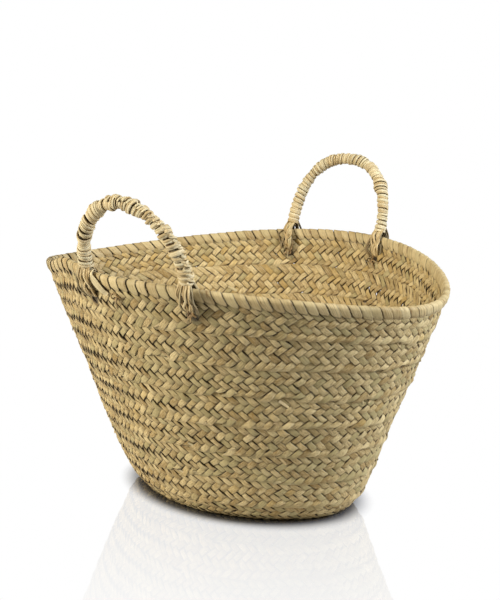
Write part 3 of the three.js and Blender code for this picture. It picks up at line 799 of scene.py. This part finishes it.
def rim_strips():
    rng = np.random.default_rng(71)

    def chance(size, *shape):
        return size * rng.uniform(-1, 1, shape)

    apart, tilted, wider, longer = RIM_CHANCES
    radius = RIM_CORE_RADIUS + RIM_STRIP_HALF_THICKNESS
    arc = [(RIM_CROWN + radius * sin(a), 0.0003 * cos(a) + radius * cos(a))
           for a in np.radians((0, 35, 65, 90, 115, 145, 180))]
    inside = [(rise, -offset) for rise, offset in reversed(RIM_SIDE)]
    rise, offset = np.array([*RIM_SIDE, *arc, *inside]).T
    span = so_far(np.hypot(np.diff(rise), np.diff(offset)))
    span = span - span[-1] / 2
    turns, lengths = round_lengths(WALL_RUN)
    broad = 1 + RIM_BROADER * near(turns, RIM_BROAD_AT, RIM_BROAD_REACH)
    gone = so_far(np.diff(lengths) / broad[1:])
    count = round(gone[-1] / RIM_STRIP_STEP)
    at = np.interp((np.arange(count) + chance(apart, count)) / count * gone[-1], gone, turns)
    place = np.interp(at, turns, lengths)
    left_end = 1 / (1 + np.exp((at - UPRIGHT_TO) / UPRIGHT_BLEND))
    left_end = (left_end / (1 + np.exp((UPRIGHT_FROM - at) / UPRIGHT_BLEND)))[:, None]
    slant = RIM_SLANT * (1 - LEFT_UPRIGHT * left_end) + chance(tilted, count, 1)
    half = gone[-1] / count * (RIM_STRIP_SHARE + chance(wider, count, 1))
    half = half * np.interp(at, turns, broad)[:, None]
    tail = within((np.abs(span) - np.abs(span[2])) / (span[2] - span[0]))[None]
    reach = 1 + (LEFT_REACH * left_end + chance(longer, count, 1)) * (span < 0)
    width = half * (1 - tail * (RIM_TAIL_NARROWS + LEFT_TAIL_NARROWS * left_end))
    distance = place[:, None, None] - (slant * span)[:, :, None] + BLADE[:, 0] * width[:, :, None]
    angle = np.interp(distance % lengths[-1], lengths, turns)
    normal = unit(np.stack([np.gradient(rise), -np.gradient(offset)], axis=-1))
    lift = RIM_STRIP_HALF_THICKNESS * BLADE[:, 1] + RIM_STRIP_TIP * BLADE[:, 0]
    lift = lift + 0.0003 * rng.uniform(0, 1, (count, 1, 1))
    off = offset[None, :, None] + normal[None, :, None, 0] * lift
    up = (rise * reach)[:, :, None] + normal[None, :, None, 1] * lift
    points = in_wall(angle, WALL_RUN, PLAIT_THICKNESS / 2 - off, up)
    along = span[None] + 0.4 * np.arange(count)[:, None]
    tints = rng.uniform(0, 1, (count, 1, 3)) * (0.7, 0.55, 0.78) + (0.3, 0.25, 0)
    tints = np.repeat(tints, len(span), axis=1)
    # Painted shade at the strips' tucked tails and along their edges.
    tuck_shades = np.maximum(within(tail * 1.5 - 0.5)[:, :, None], BLADE_EDGE_SHADE)
    return strip_mesh("rim_strips", points, along, tints, tuck_shades, rim_leaf)


binding = rim_strips()
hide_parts("rim_binding")
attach(binding, "basket")

# The handles' cores
# Each handle is a bundle of seven leaf strands, laid together with a slow twist and bent into an
# arch. It stands on two feet at the rim, leans out over the wall, and swings about the line through
# its feet. The bundle shows only between the turns of the wrap.
FRONT_ARCH = {
    "feet": FRONT_FEET, "height": 0.089, "lean": radians(18.6), "square": 1.94, "outward": -1}
BACK_ARCH = {
    "feet": BACK_FEET, "height": 0.0995, "lean": radians(19.7), "square": 2.31, "outward": 1}
BUNDLE_RADIUS = 0.0029
BUNDLE_STRAND = 0.0015
BUNDLE_TWIST = 90
ARCH_FOOT = 0.01634
ARCH_SPRINGING = 0.01804


def foot_place(angle):
    """The hinge line's end at a foot. Where the rim is pulled up, it stays below."""
    return in_wall(angle, WALL_RUN, PLAIT_THICKNESS / 2, -AXIS_DROP) - (0, 0, pulled_up(angle, 1))


def handle_line(feet, height, lean, square, outward):
    """The arch's frame: its feet, its own directions, and its middle line by distance."""
    places = [foot_place(angle) for angle in feet]
    along = unit(places[1] - places[0])
    half = np.linalg.norm(places[1] - places[0]) / 2
    flat = unit(np.array([-along[1], along[0], 0])) * outward
    upright = unit(np.cross(along, flat)) * outward
    rise = upright * cos(lean) + flat * sin(lean)
    turn = np.linspace(np.pi, 0, 241)
    across = half * np.sign(np.cos(turn)) * np.abs(np.cos(turn)) ** (2 / square)
    up = ARCH_SPRINGING + (height - ARCH_SPRINGING) * np.maximum(0, np.sin(turn)) ** (2 / square)
    across = np.concatenate([[-half], across, [half]])
    up = np.concatenate([[ARCH_FOOT], up, [ARCH_FOOT]])
    gone = so_far(np.hypot(np.diff(across), np.diff(up)))
    return {
        "feet": places, "angles": feet, "along": along, "rise": rise, "beside": np.cross(rise, along),
        "middle": (places[0] + places[1]) / 2, "across": across, "up": up, "gone": gone,
        "length": gone[-1],
    }


def arch_frame(handle, distance):
    """Places on the arch's middle line, and the two directions across it."""
    def at(where):
        ways = [np.interp(where, handle["gone"], handle[way]) for way in ("across", "up")]
        return np.stack(ways, axis=-1)

    plane = np.array([handle["along"], handle["rise"]])
    heading = unit(at(distance + 0.002) - at(distance - 0.002))
    return handle["middle"] + at(distance) @ plane, (heading[:, ::-1] * (-1, 1)) @ plane


def strand(path, outward, half_width, half_thickness):
    """The sections of a flat strand along a path, with its broad side facing outward."""
    ahead = unit(np.gradient(path, axis=0))
    side = unit(np.cross(ahead, outward))
    face = np.cross(side, ahead)
    wide, thick = np.broadcast_to(half_width, len(path)), np.broadcast_to(half_thickness, len(path))
    return (path[:, None] + side[:, None] * (wide[:, None] * BLADE[:, 0])[:, :, None]
            + face[:, None] * (thick[:, None] * BLADE[:, 1])[:, :, None])


def wound(handle, distance, turn, out, half_width, half_thickness):
    """The sections of a strand along an arch, turned round its middle line and out from it."""
    place, outside = arch_frame(handle, distance)
    ray = outside * np.cos(turn)[:, None] + handle["beside"] * np.sin(turn)[:, None]
    return strand(place + ray * np.reshape(out, (-1, 1)), ray, half_width, half_thickness)


def gentle_noise(rng, where, spacing):
    """Values that change smoothly along a distance."""
    knots = np.arange(where.min() - spacing, where.max() + 2 * spacing, spacing)
    values = np.clip(rng.standard_normal(len(knots)), -1.8, 1.8)
    at = (where - knots[0]) / spacing
    i = at.astype(int)
    t = smooth(at - i)
    return values[i] * (1 - t) + values[i + 1] * t


def strands_piece(name, sections, material, rng, tuck_shades=None, patch=18, edge=0.6):
    """Strands as one piece, with a new tone after every patch of stations. Painted shade darkens
    each strand's underside fully and its edges by the edge share.
    """
    points = np.array(sections)
    steps = np.linalg.norm(np.diff(points.mean(axis=2), axis=1), axis=-1)
    lengths = np.concatenate([np.zeros((len(points), 1)), np.cumsum(steps, axis=1)], axis=1)
    lengths += 0.7 * np.arange(len(points))[:, None]
    shade = rng.uniform(0, 1, (len(points), lengths.shape[1] // patch + 1, 3))
    shade = np.repeat(shade, patch, axis=1)[:, :lengths.shape[1]]
    # Painted shade on the underside and edges.
    under = np.interp(BLADE[:, 1], (-0.8, 0, 0.8), (1, edge, 0))
    tuck_shades = np.zeros(lengths.shape) if tuck_shades is None else tuck_shades
    piece = strip_mesh(name, points, lengths, shade, np.maximum(tuck_shades[:, :, None], under), material)
    return piece


handles = {"front": handle_line(**FRONT_ARCH), "back": handle_line(**BACK_ARCH)}


def handle_core(side, seed):
    handle = handles[side]
    distance = np.linspace(0, handle["length"], 90)
    sections = [wound(handle, distance, 0 * distance, 0, BUNDLE_STRAND, BUNDLE_STRAND)]
    for k in range(6):
        turn = np.pi * k / 3 + distance * BUNDLE_TWIST
        sections.append(wound(handle, distance, turn, BUNDLE_RADIUS, BUNDLE_STRAND, BUNDLE_STRAND * 0.8))
    rng = np.random.default_rng(seed)
    piece = strands_piece(f"{side}_handle_bundle", sections, cord_leaf, rng)
    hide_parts(f"{side}_handle_core")
    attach(piece, f"{side}_handle")


handle_core("front", 81)
handle_core("back", 82)

# The handles' wraps
# Two or three strands, kept loosely together, are wound round each bundle from foot to foot. They
# change places as they go, which gives the lumpy turns. The front wrap is coarser, and two more
# strands are hitched along its side.
WRAP_STATIONS = 18
WRAP_MARGIN = 0.0012
WRAP_END = 0.0004
HITCH_SIDE = -0.35
HITCH_FROM = 0.45
# The colour that painted shade darkens the wrap toward, between its strands.
WRAP_GAP_SHADE = (0.10, 0.046, 0.012, 1)
wrap_leaf = leaf_material(
    "wrap_leaf", (0.98, 0.83, 0.49, 1), (0.54, 0.37, 0.145, 1), (0.72, 0.61, 0.34, 1),
    (0.72, 0.50, 0.20, 1), fibres=0.6, flecks=0.25, shade=0.95, across=5, relief=0.0001, gap=WRAP_GAP_SHADE)


def handle_wrap(side, strands, turns, radius, half_width, lump, swap, tilt, bunches, seed,
                swelling=None, hitched=0):
    rng = np.random.default_rng(seed)
    handle = handles[side]
    steps = turns * WRAP_STATIONS
    share = np.linspace(0, 1, steps + 1)
    distance = WRAP_MARGIN + (handle["length"] - 2 * WRAP_MARGIN) * share
    pitch = handle["length"] / turns
    turn = 2 * np.pi * turns * share + 0.3 * gentle_noise(rng, distance, 2 * pitch)
    lumps = lump * gentle_noise(rng, distance, 0.7 * pitch)
    if swelling:
        lumps = lumps + swelling[1] * np.exp(-((share - swelling[0]) / swelling[2]) ** 2)
    lean = tilt * gentle_noise(rng, distance, 5 * pitch) * np.sin(turn)
    lean = lean * within(np.minimum(share, 1 - share) / 0.08)
    phase = swap * turn + 1.2 * gentle_noise(rng, distance, 1.3 * pitch)
    bunch = np.interp(share, (0, 0.42, 0.6, 1), bunches)
    last = handle["length"] - WRAP_END
    sections = []
    for k in range(strands):
        beside = k - (strands - 1) / 2 + 0.1 * strands * np.sin(phase + 2 * k)
        where = np.clip(distance + lean + bunch * pitch * beside, WRAP_END, last)
        out = radius + lumps + 0.0006 * np.cos(phase + 2 * k)
        wide = half_width * (1 + 0.15 * gentle_noise(rng, distance, 3 * pitch))
        sections.append(wound(handle, where, turn, out, wide, 0.75 * wide))
    for ply in range(hitched):
        around = turn / 1.6 + np.pi * ply + gentle_noise(rng, distance, 2 * pitch)
        where = np.minimum(np.interp(share, (0, 1), (HITCH_FROM, 1)) * handle["length"], last)
        aside = HITCH_SIDE + 0.3 * gentle_noise(rng, distance, 6 * pitch) + 0.3 * np.sin(around)
        out = radius + lumps + 0.0007 + 0.0012 * np.cos(around)
        sections.append(wound(handle, where, aside, out, 0.95 * half_width, 0.8 * half_width))
    name, patch = f"{side}_handle_winding", 2 * WRAP_STATIONS
    piece = strands_piece(name, sections, wrap_leaf, rng, patch=patch, edge=0.9)
    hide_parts(f"{side}_handle_wrap")
    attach(piece, f"{side}_handle")


handle_wrap(
    "front", strands=3, turns=35, radius=0.0053, half_width=0.00112,
    lump=0.0009, swap=0.22, tilt=0.0032, bunches=(0.30, 0.29, 0.21, 0.19), seed=91, hitched=2)
handle_wrap(
    "back", strands=2, turns=42, radius=0.0053, half_width=0.0014,
    lump=0.0004, swap=0.12, tilt=0.0012, bunches=(0.50, 0.50, 0.50, 0.50), seed=92,
    swelling=(0.77, 0.0016, 0.02))

# The handles' feet
# The strands of each bundle fan out at its end, go down outside the rim, through the hole, up
# inside and back into the bundle. They stay put in the wall.
HANDS = ("left", "right")
FOOT_STRANDS = 14
FOOT_SPREAD = 0.0118
FOOT_STRAND = 0.00105
FOOT_STATIONS = 60
# The way of a foot's strand: how far up the handle's rise, its share of the fan, and how far it
# goes outward and up from the foot's place. Then what it takes of its own stray and of its layer.
FOOT_WAY = np.array([
    (0.0260, 0.25, 0.0012, 0), (0.0195, 0.5, 0.0024, 0), (0, 0.8, 0.0066, 0.0112),
    (0, 1, 0.0055, 0.003), (0, 1, 0.0046, -0.005), (0, 0.85, 0.0034, -0.0112),
    (0, 0.45, 0.0002, -FOOT_REACH),
    (0, 0.75, -0.0034, -0.0112), (0, 1, -0.0046, -0.005), (0, 0.9, -0.0056, 0.003),
    (0, 0.6, -0.0050, 0.0105), (0.0190, 0.4, -0.0024, 0), (0.0260, 0.25, -0.0012, 0),
])
FOOT_INSIDE = np.array([0, 0, 0, 0, 0, 0, 0, 1, 1, 1, 1, 1, 0])
FOOT_STRAY = np.array([0, 0, 1, 1, 1, 0.5, 0, -0.5, -1, -1, -1, 0, 0])
FOOT_LAYER = np.array([0, 0.5, 1, 1, 1, 0, 0, 0, -1, -1, -1, -0.5, 0])
foot_leaf = leaf_material(
    "foot_leaf", (0.90, 0.71, 0.37, 1), (0.42, 0.27, 0.09, 1), (0.60, 0.49, 0.24, 1),
    (0.60, 0.38, 0.11, 1), fibres=1.0, flecks=0.5, shade=0.95, across=6, relief=0.0002)


def smooth_path(points, count):
    points = np.asarray(points, dtype=float)
    padded = np.concatenate([2 * points[:1] - points[1:2], points, 2 * points[-1:] - points[-2:-1]])
    at = np.linspace(0, len(points) - 1 - 1e-9, count)
    i = at.astype(int)
    t = (at - i)[:, None]
    a, b, c, d = (padded[i + k] for k in range(4))
    bent = (2 * a - 5 * b + 4 * c - d) * t ** 2 + (3 * b - a - 3 * c + d) * t ** 3
    return 0.5 * (2 * b + (c - a) * t + bent)


def foot_frame(side, hand):
    """The place of a foot, and its directions: along the axis, outward, and up the slope."""
    handle, end = handles[side], HANDS.index(hand)
    along = handle["along"]
    out, up = skin_frame(handle["angles"][end], WALL_RUN)
    up = unit(up - up.dot(along) * along)
    outward = np.cross(along, up)
    outward = outward * np.sign(outward.dot(out))
    return handle["feet"][end], np.array([along, outward, up])


def foot_strands(side, hand, seed, inner):
    """Thin strands that fan out over the rim, outside and, by a share of that, inside."""
    rng = np.random.default_rng(seed)
    place, axes = foot_frame(side, hand)
    rise = axes @ handles[side]["rise"]
    up_rise, spread, outward, up = FOOT_WAY.T
    spread = spread * np.where(FOOT_INSIDE, inner, 1)
    sections, tuck_shades = [], []
    low = rng.permutation(FOOT_STRANDS)
    for k in range(FOOT_STRANDS):
        fan, low_fan = (
            (n - (FOOT_STRANDS - 1) / 2) / (FOOT_STRANDS / 2) for n in (k, 0.4 * k + 0.6 * low[k]))
        share = np.interp(np.arange(13), (1, 4, 8, 11), (0, 1, 1, 0))
        x = (fan + (low_fan - fan) * share) * FOOT_SPREAD + 0.0021 * rng.uniform(-1, 1, 13)
        y = 0.0021 * rng.uniform(-0.2, 1, 13)
        out = outward + y * FOOT_STRAY + 0.0019 * (k % 2) * FOOT_LAYER
        path = up_rise[:, None] * rise + np.stack([x * spread, out, up], axis=-1)
        path = smooth_path(path, FOOT_STATIONS)
        facing = path * (0, 1, 1) + (0, 0, 0.004) - (0, 0, 0.008) * (path[:, 2:] > 0)
        width = FOOT_STRAND * (1 + 0.3 * rng.uniform(-1, 1))
        sections.append(strand(place + path @ axes, unit(facing) @ axes, width, 0.0008))
        # Painted shade on every other strand, the under layer, and in the hole through the wall.
        under_layer_shade = (1 - k % 2) * np.interp(path[:, 1], (-0.003, 0.003), (0.7 * inner, 0.75))
        under_layer_shade = under_layer_shade * np.interp(path[:, 2], (0.008, 0.015), (1, 0.3))
        tuck_shades.append(np.maximum(under_layer_shade, np.interp(path[:, 2], (-0.0135, -0.011), (1, 0))))
    name = f"{side}_{hand}_strands"
    piece = strands_piece(name, sections, foot_leaf, rng, np.array(tuck_shades), patch=30)
    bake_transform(piece)
    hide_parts(f"{side}_{hand}_foot_loop")


foot_strands("front", "left", 101, 0.6)
foot_strands("front", "right", 102, 0.6)
foot_strands("back", "left", 111, 1.1)
foot_strands("back", "right", 112, 1.1)

# The feet's knots
# The end of each bundle is tied where it goes through the wall, on the side that shows, and its
# cut ends stick out. The front left handle end is also held by a broad strip over the rim.
KNOT_SIZE = 0.0016
KNOT_STRAND = 0.00085
KNOT_PROUD = 0.0048
knot_leaf = leaf_material(
    "knot_leaf", (0.58, 0.39, 0.16, 1), (0.22, 0.125, 0.04, 1), (0.42, 0.34, 0.16, 1),
    (0.50, 0.29, 0.08, 1), fibres=1.0, flecks=0.8, shade=0.9, across=4, relief=0.00015)


def along_rim(side, hand, across):
    """The angles at distances along the rim from a foot, toward the handle's other one."""
    turns, lengths = round_lengths(WALL_RUN)
    feet = np.interp(handles[side]["angles"], turns, lengths)
    start = feet[HANDS.index(hand)]
    return np.interp(start + across * np.sign(feet[1] - feet[0]), lengths, turns)


def knot(side, hand, across, below, seed):
    """A small overhand knot with three cut ends. It is outside in front, and inside at the back."""
    rng = np.random.default_rng(seed)
    _, axes = foot_frame(side, hand)
    out = 1 if side == "front" else -1
    place = foot_place(along_rim(side, hand, across))
    turn = np.linspace(0, 2 * np.pi, 61)
    loop = np.stack([
        np.sin(turn) + 2 * np.sin(2 * turn), -np.sin(3 * turn) * 0.9,
        np.cos(turn) - 2 * np.cos(2 * turn)], axis=-1)
    swing = rng.uniform(0, 2 * np.pi)
    c, s = cos(swing), sin(swing)
    loop = loop @ np.array([[c, 0, s], [0, 1, 0], [-s, 0, c]]) * KNOT_SIZE
    centre = np.array([0, out * KNOT_PROUD, below])
    facing = unit(loop * (1, 0, 1) + (0, out * 0.003, 0)) @ axes
    sections = [strand(place + (centre + loop) @ axes, facing, KNOT_STRAND, KNOT_STRAND * 0.8)]
    for k in range(3):
        away = rng.uniform(-1.2, 1.2) + (0.6 - 0.6 * k)
        way = np.array([sin(away), 0, -cos(away)])
        length = rng.uniform(0.007, 0.012)
        tail = smooth_path([
            centre + way * length * share + (0, out * 0.002 * sin(2.4 * share), 0)
            for share in (0, 0.35, 0.7, 1)], len(turn))
        facing = np.tile(out * axes[1], (len(turn), 1))
        sections.append(strand(place + tail @ axes, facing, KNOT_STRAND * 0.8, 0.0004))
    piece = strands_piece(f"{side}_{hand}_knot", sections, knot_leaf, rng)
    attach(piece, "basket")


knot("front", "left", across=0.041, below=-0.0085, seed=121)
knot("front", "right", across=0.0012, below=-0.0125, seed=122)
knot("back", "left", across=0.003, below=-0.0150, seed=123)
knot("back", "right", across=-0.0035, below=-0.0175, seed=124)

# The tie's way over the rim: along it from the foot, off the wall's middle, and up the slope.
TIE_WAY = (
    (0.0040, -0.0048, -0.0060), (0.0060, -0.0040, -0.0015), (0.0085, 0.0000, 0.0012),
    (0.0115, 0.0044, -0.0010), (0.0155, 0.0052, -0.0055), (0.0200, 0.0054, -0.0100),
    (0.0245, 0.0050, -0.0150), (0.0280, 0.0030, -0.0195),
)
TIE_STATIONS = 40
TIE_HALF_WIDTHS = ((0, 12, 26, 39), (0.0024, 0.0038, 0.0056, 0.0034))


def broad_tie():
    along, off, up = smooth_path(TIE_WAY, TIE_STATIONS).T
    angle = along_rim("front", "left", along)
    path = in_wall(angle, WALL_RUN, PLAIT_THICKNESS / 2 - off, up)
    out, slope = skin_frame(angle, WALL_RUN)
    facing = unit(out * off[:, None] + slope * np.maximum(up[:, None] + 0.003, 0))
    half_width = np.interp(np.arange(TIE_STATIONS), *TIE_HALF_WIDTHS)
    section = strand(path, facing, half_width, 0.0005)
    rng = np.random.default_rng(125)
    piece = strands_piece("front_left_tie", [section], wrap_leaf, rng)
    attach(piece, "basket")


broad_tie()

# Leaf ends and fibres
# New leaves are pieced into the plait, and their dry brown ends stick out here and there along
# the seams. A few thin fibres have come loose.
LEAF_ENDS = 150
END_STATIONS = 9
FIBRE_RADIUS = 0.00022
FIBRE_STATIONS = 16
# Each loose fibre's angle, run, length and turn.
LOOSE_FIBRES = (
    (-3, 0.075, 0.012, 0.6), (-20, 0.018, 0.014, 1.2), (-28, 0.030, 0.010, -0.4),
    (-70, 0.150, 0.009, 2.4), (-150, 0.110, 0.010, 2.8),
)


def leaf_ends():
    rng = np.random.default_rng(131)
    sections = []
    for _ in range(LEAF_ENDS):
        seam = rng.integers(1, WALL_ROUNDS)
        side = 1 if rng.uniform() < 0.7 else -1
        angle = rng.uniform(-np.pi, np.pi)
        slope = rng.choice((-1, 1)) * rng.uniform(0.5, 0.95) + (0 if rng.uniform() < 0.5 else np.pi)
        length = rng.uniform(0.006, 0.012)
        radius = np.hypot(*skin(angle, seam * wall_pitch)[:2])
        share = np.linspace(0, 1, END_STATIONS)
        angles = angle + length * cos(slope) * share / radius
        rises = seam * wall_pitch + rng.uniform(-0.004, 0.004) + length * sin(slope) * share
        surface = PLAIT_DEPTH - side * (0.0012 + rng.uniform(0.001, 0.0022) * share ** 1.5)
        path = in_wall(angles, rises, surface)
        out, _ = skin_frame(angles, rises)
        width = rng.uniform(0.0009, 0.0019) * (1 - 0.5 * share ** 3)
        sections.append(strand(path, out * side, width, 0.0003))
    piece = strands_piece("leaf_ends", sections, foot_leaf, rng)
    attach(piece, "basket")


def wall_fibre(number, degrees, run, length, turn):
    """A fibre that leaves the wall's outer face and curls away from it."""
    angle = np.radians(degrees)
    start = in_wall(angle, run, 0.002)
    out, up = skin_frame(angle, run)
    way = cos(turn) * np.cross(up, out) + sin(turn) * up
    path = smooth_path([
        start + length * (way * share + out * 0.45 * share ** 0.8 + up * 0.2 * share * share)
        for share in (0, 0.3, 0.6, 1)], FIBRE_STATIONS)
    facing = np.tile((0.3, -0.5, 0.8), (FIBRE_STATIONS, 1))
    thin = np.linspace(1, 0.4, FIBRE_STATIONS) * FIBRE_RADIUS
    rng = np.random.default_rng(140 + number)
    section = strand(path, facing, thin, thin)
    piece = strands_piece(f"wall_fibre_{number}", [section], foot_leaf, rng)
    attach(piece, "basket")


leaf_ends()
for i, fibre in enumerate(LOOSE_FIBRES, 1):
    wall_fibre(i, *fibre)
